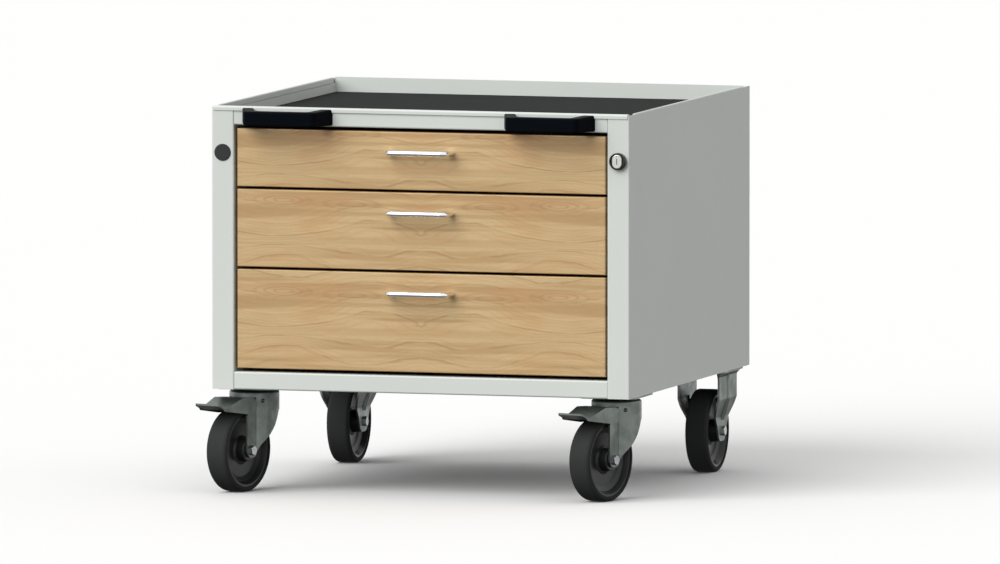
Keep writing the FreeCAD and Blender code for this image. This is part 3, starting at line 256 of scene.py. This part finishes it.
def beech(name, centre):
    """A flat-sawn beech face: its figure is mirrored about the middle of the front."""
    g = Graph(name)
    x, _, z = g.axes(g.place)
    across = (x - centre.x).absolute() / MM
    up = (z - centre.z) / MM

    def cloud(across_scale, up_scale, detail, shift=0.0):
        return g.noise(g.point(across * across_scale + shift, 0.0, up * up_scale), 1.0, detail)

    wander = cloud(0.006, 0.016, 3.0) - 0.5
    flutter = cloud(0.030, 0.060, 2.0) - 0.5

    # growth lines: dark on their upper edge and fading below it, wider apart where the board is flat-sawn
    swing = ((across - KNOT_ACROSS) * (2 * math.pi / FIGURE_WAVE)).cosine()
    turn = g.spread(up, FIGURE_TURN - FIGURE_BLEND, FIGURE_TURN + FIGURE_BLEND, -1.0, 1.0)
    field = up + swing * turn * FIGURE_SWING + wander * FIGURE_WANDER + flutter * FIGURE_FLUTTER
    ring = (field / RING_SPACING).fraction()
    line = g.spread(ring, 0.84, 0.97) * g.spread(ring, 1.0, 0.975)
    line = line * g.spread(cloud(0.016, 0.050, 2.0, 3.0), 0.40, 0.60)
    shadow = ring.power(2.5)
    fine_ring = (field / FINE_SPACING).fraction()
    fine_line = g.spread(fine_ring, 0.4, 0.95) * g.spread(fine_ring, 1.0, 0.95)

    def eye(place_across, place_up, squash, spacing, reach):
        """The rings round a knot: flat ellipses, wider than they are high by the squash."""
        dx = (across - place_across) / squash
        dz = up - place_up
        radius = (dx * dx + dz * dz + flutter * 34.0).root()
        return g.spread((radius / spacing).fraction(), 0.45, 0.92) * g.spread(radius, reach, reach / 2)

    eyes = eye(KNOT_ACROSS, KNOT_UP, 4.6, 3.4, 13.0) + eye(HEART_ACROSS, HEART_UP, 5.6, 4.2, 12.0)
    band = g.spread((up - KNOT_UP).absolute(), 15.0, 6.0)
    streak = cloud(0.0024, 0.085, 2.0, 11.0)
    broad = cloud(0.0016, 0.030, 1.0, 5.0)
    blush = cloud(0.009, 0.034, 2.0, 7.0)
    fibre = g.noise(g.stretched(g.place, (14.0, 14.0, 620.0)), 1.0, 3.0, 0.6)
    pore = g.noise(g.stretched(g.place, (260.0, 260.0, 2400.0)), 1.0, 1.0)
    tone = g.mix(g.spread(streak, 0.40, 0.60), BEECH_DEEP, BEECH_PALE)
    tone = g.mix(g.spread(broad, 0.40, 0.62, 0.0, 0.55), tone, BEECH_PALE)
    tone = g.mix(g.spread(blush, 0.50, 0.72, 0.0, 0.50), tone, BEECH_BLUSH)
    tone = g.mix(band * g.spread(blush, 0.38, 0.66, 0.10, 0.62), tone, shade(BEECH_BLUSH, 0.90))
    tone = g.mix(g.spread(fibre, 0.35, 0.75, 0.0, 0.20), tone, shade(BEECH_DEEP, 0.88))
    tone = g.mix(shadow * 0.30, tone, BEECH_DEEP)
    tone = g.mix(fine_line * 0.16, tone, shade(BEECH_LINE, 1.1))
    tone = g.mix(line * 0.50, tone, BEECH_LINE)
    tone = g.mix(eyes.limited() * 0.36, tone, BEECH_LINE)
    tone = g.mix(g.spread(pore, 0.62, 0.72, 0.0, 0.25), tone, shade(BEECH_LINE, 0.95))
    grain = g.bump(fibre, 0.12, 0.0003)
    grain = g.bump(pore, 0.10, 0.0002, grain)
    return g.surface(Base_Color=tone, Roughness=g.spread(fibre, 0.3, 0.7, 0.36, 0.48), Normal=grain,
                     Coat_Weight=0.15, Coat_Roughness=0.25)


def grained_rubber(name, colour, scale, depth, specular):
    """Rubber with a fine pebbled skin."""
    g = Graph(name)
    pebble = g.cells(g.place, scale)
    cloud = g.noise(g.place, 12.0, 3.0)
    dust = g.noise(g.place, 160.0, 4.0, 0.7)
    tone = g.mix(g.spread(cloud, 0.3, 0.7), shade(colour, 0.92), shade(colour, 1.08))
    tone = g.mix(g.spread(dust, 0.55, 0.8, 0.0, 0.35), tone, shade(colour, 1.35))
    return g.surface(Base_Color=tone, Roughness=g.spread(cloud, 0.3, 0.7, 0.82, 0.92),
                     Normal=g.bump(pebble, 0.5, depth), Specular_IOR_Level=specular)


def moulded(name, colour, roughness, specular):
    """Injection-moulded plastic with a light spark-eroded texture."""
    g = Graph(name)
    grain = g.noise(g.place, 1500.0, 2.0, 0.6)
    flow = g.noise(g.place, 18.0, 3.0)
    tone = g.mix(g.spread(flow, 0.3, 0.7), shade(colour, 0.93), shade(colour, 1.07))
    return g.surface(Base_Color=tone, Roughness=g.spread(flow, 0.3, 0.7, roughness - 0.04, roughness + 0.04),
                     Normal=g.bump(grain, 0.12, 0.0003), Specular_IOR_Level=specular)


def zinc(name, light, dark, roughness):
    """Zinc plate: soft clouded patches, a fine crystal grain and faint drawing lines."""
    g = Graph(name)
    cloud = g.noise(g.place, 38.0, 4.0, 0.55)
    crystal = g.cells(g.place, 700.0)
    drawn = g.noise(g.stretched(g.place, (40.0, 900.0, 900.0)), 1.0, 2.0)
    tone = g.mix(g.spread(cloud, 0.3, 0.7), dark, light)
    tone = g.mix(g.spread(crystal, 0.2, 0.8, 0.0, 0.18), tone, shade(dark, 0.8))
    rough = g.spread(cloud, 0.3, 0.7, roughness + 0.08, roughness - 0.05)
    return g.surface(Base_Color=tone, Metallic=1.0, Roughness=rough, Normal=g.bump(drawn, 0.05, 0.0002))


def chrome(name):
    """Polished plate with a faint haze and wiping marks."""
    g = Graph(name)
    haze = g.noise(g.place, 90.0, 3.0)
    tone = g.mix(haze, (0.86, 0.87, 0.88), (0.92, 0.92, 0.92))
    wipe = g.noise(g.stretched(g.place, (30.0, 700.0, 700.0)), 1.0, 2.0)
    return g.surface(Base_Color=tone, Metallic=1.0, Roughness=g.spread(haze, 0.3, 0.7, 0.05, 0.10),
                     Normal=g.bump(wipe, 0.02, 0.0001))


def brushed_nickel(name):
    """A satin face with fine lines across it."""
    g = Graph(name)
    brush = g.noise(g.stretched(g.place, (300.0, 300.0, 6000.0)), 1.0, 2.0)
    tone = g.mix(brush, (0.52, 0.51, 0.48), (0.66, 0.65, 0.62))
    return g.surface(Base_Color=tone, Metallic=1.0, Roughness=g.spread(brush, 0.3, 0.7, 0.22, 0.36),
                     Normal=g.bump(brush, 0.08, 0.0001))


def floor_finish(name):
    """A matt pale ground with barely visible grain."""
    g = Graph(name)
    grain = g.noise(g.place, 60.0, 3.0)
    tone = g.mix(grain, shade(FLOOR_COLOUR, 0.995), FLOOR_COLOUR)
    return g.surface(Base_Color=tone, Roughness=0.9, Specular_IOR_Level=0.1)


def finishes():
    """The material of every slot in the record; the beech fronts have one each."""
    return {
        "grey_paint": powder_coat("powder_coat_grey", (0.625, 0.655, 0.620)),
        "drawer_paint": powder_coat("powder_coat_drawer", (0.600, 0.630, 0.600)),
        "mat_rubber": grained_rubber("rubber_mat_grained", (0.029, 0.030, 0.030), 900.0, 0.0006, 0.02),
        "tyre_rubber": grained_rubber("rubber_tyre", (0.036, 0.037, 0.037), 1600.0, 0.0002, 0.10),
        "slide_zinc": zinc("zinc_bright", (0.74, 0.75, 0.76), (0.60, 0.62, 0.63), 0.30),
        "fastener_zinc": zinc("zinc_fastener", (0.44, 0.46, 0.46), (0.34, 0.36, 0.36), 0.28),
        "caster_zinc": zinc("zinc_passivated", (0.220, 0.245, 0.230), (0.155, 0.175, 0.163), 0.42),
        "handle_plastic": moulded("plastic_black", (0.0018, 0.0028, 0.0045), 0.50, 0.02),
        "plug_plastic": moulded("plastic_plug", (0.024, 0.026, 0.026), 0.42, 0.22),
        "wheel_nylon": moulded("plastic_wheel", (0.020, 0.021, 0.022), 0.32, 0.35),
        "lock_black": moulded("plastic_lock", (0.010, 0.010, 0.010), 0.25, 0.50),
        "lock_nickel": brushed_nickel("nickel_brushed"),
        "chrome": chrome("chrome_polished"),
    }


def finish_nodes():
    slots = finishes()
    for name, node in NODES.items():
        slot = node.material_slots[0].material.name.split(".")[0]
        if slot == "beech":
            slots[name] = beech("beech_" + name, middle(name))
            slot = name
        for place in node.material_slots:
            place.material = slots[slot]


# Stage

def aimed_from(azimuth, elevation):
    """The direction from the object to a source; azimuth 0 is in front, and it grows to the right."""
    azimuth = math.radians(azimuth)
    elevation = math.radians(elevation)
    return Vector((math.sin(azimuth) * math.cos(elevation),
                   -math.cos(azimuth) * math.cos(elevation),
                   math.sin(elevation)))


def sun(name, share, azimuth, elevation, softness):
    light = bpy.data.lights.new(name, "SUN")
    light.energy = share * math.pi
    light.angle = math.radians(softness)
    lamp = bpy.data.objects.new(name, light)
    lamp.rotation_euler = aimed_from(azimuth, elevation).to_track_quat("Z", "Y").to_euler()
    bpy.context.scene.collection.objects.link(lamp)


def studio_floor():
    mesh = bpy.data.meshes.new("studio_floor")
    low = CAD_BOUNDS[0][2]
    corners = [(sx * FLOOR_HALF, sy * FLOOR_HALF, low) for sx, sy in ((-1, -1), (1, -1), (1, 1), (-1, 1))]
    mesh.from_pydata(corners, [], [(0, 1, 2, 3)])
    mesh.materials.append(floor_finish("studio_floor"))
    floor = bpy.data.objects.new("studio_floor", mesh)
    floor.visible_glossy = False
    floor.visible_diffuse = False
    bpy.context.scene.collection.objects.link(floor)


def surroundings():
    """The room: light that grows with height for dull surfaces, a bright wall above a dark ground for
    polished ones, and the pale backdrop that the camera sees past the floor."""
    world = bpy.data.worlds.new("studio")
    bpy.context.scene.world = world
    world.use_nodes = True
    tree = world.node_tree
    tree.nodes.clear()

    def background(strength):
        made = tree.nodes.new("ShaderNodeBackground")
        made.inputs["Color"].default_value = (1.0, 1.0, 1.0, 1.0)
        if isinstance(strength, float):
            made.inputs["Strength"].default_value = strength
        else:
            tree.links.new(strength, made.inputs["Strength"])
        return made.outputs[0]

    def by_height(low, high, start, end):
        made = tree.nodes.new("ShaderNodeMapRange")
        for name, number in (("From Min", low), ("From Max", high), ("To Min", start), ("To Max", end)):
            made.inputs[name].default_value = number
        tree.links.new(height.outputs["Z"], made.inputs["Value"])
        return made.outputs[0]

    def choice(ray, otherwise, chosen):
        made = tree.nodes.new("ShaderNodeMixShader")
        tree.links.new(paths.outputs[ray], made.inputs[0])
        tree.links.new(otherwise, made.inputs[1])
        tree.links.new(chosen, made.inputs[2])
        return made.outputs[0]

    paths = tree.nodes.new("ShaderNodeLightPath")
    height = tree.nodes.new("ShaderNodeSeparateXYZ")
    tree.links.new(tree.nodes.new("ShaderNodeTexCoord").outputs["Generated"], height.inputs[0])
    dull = background(by_height(-1.0, 1.0, ROOM_LEVEL - ROOM_LIFT, ROOM_LEVEL + ROOM_LIFT))
    mirrored = background(by_height(*MIRROR_HORIZON, MIRROR_LOW, MIRROR_HIGH))
    seen = choice("Is Glossy Ray", dull, mirrored)
    seen = choice("Is Camera Ray", seen, background(BACKDROP))
    output = tree.nodes.new("ShaderNodeOutputWorld")
    tree.links.new(seen, output.inputs["Surface"])


def camera():
    lens = bpy.data.cameras.new("camera")
    lens.lens = LENS
    lens.sensor_width = SENSOR
    lens.clip_end = 4 * DISTANCE
    view = bpy.data.objects.new("camera", lens)
    centre = casing_centre()
    aim = Vector((centre.x + AIM_RIGHT_OF_CASING, centre.y + AIM_BEHIND_CASING, AIM_HEIGHT))
    back = aimed_from(YAW, ELEVATION)
    view.location = aim + back * DISTANCE
    view.rotation_euler = back.to_track_quat("Z", "Y").to_euler()
    bpy.context.scene.collection.objects.link(view)
    bpy.context.scene.camera = view


finish_nodes()
camera()
sun("key", KEY_LIGHT, KEY_AZIMUTH, KEY_ELEVATION, KEY_SOFTNESS)
surroundings()
studio_floor()
bpy.context.scene.view_settings.view_transform = "Standard"
